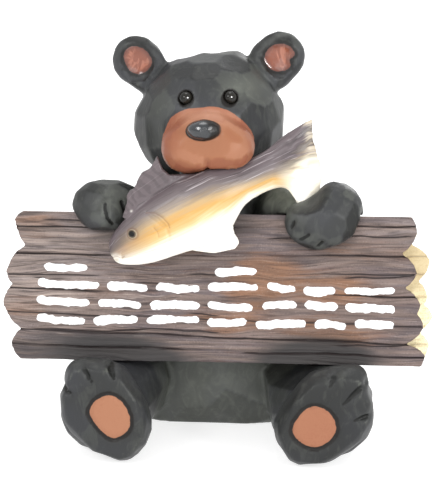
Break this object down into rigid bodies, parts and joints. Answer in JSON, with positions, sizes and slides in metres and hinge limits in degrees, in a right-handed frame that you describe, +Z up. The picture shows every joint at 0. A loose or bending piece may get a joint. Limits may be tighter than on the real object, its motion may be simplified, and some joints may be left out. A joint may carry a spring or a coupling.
{
  "type": "bear figurine",
  "caption": "Whittled-style seated bear that hooks its paws over a weathered plank sign and holds a trout in its mouth; stands on its seat, legs and heels.",
  "frame": {"origin": "middle of the flat seat that the bear sits on, at z = 0", "axes": "+X to the right as one faces the bear, +Y backwards (the bear and its sign face -Y), +Z up"},
  "size_m": [0.191, 0.1278, 0.1816],
  "materials": {
    "charcoal_paint": "cast resin, hand-painted charcoal black with dry-brushed facet edges",
    "weathered_board_paint": "cast resin with a plank grain, painted weathered purple-brown, pale at its broken right end",
    "trout_paint": "cast resin, satin paint, dark back, golden side and white belly",
    "bead_black": "glossy black bead"
  },
  "bodies": {
    "root": {"bear": "charcoal_paint", "signboard": "weathered_board_paint", "fish": "trout_paint", "left_eye": "bead_black", "right_eye": "bead_black"}
  },
  "joints": []
}
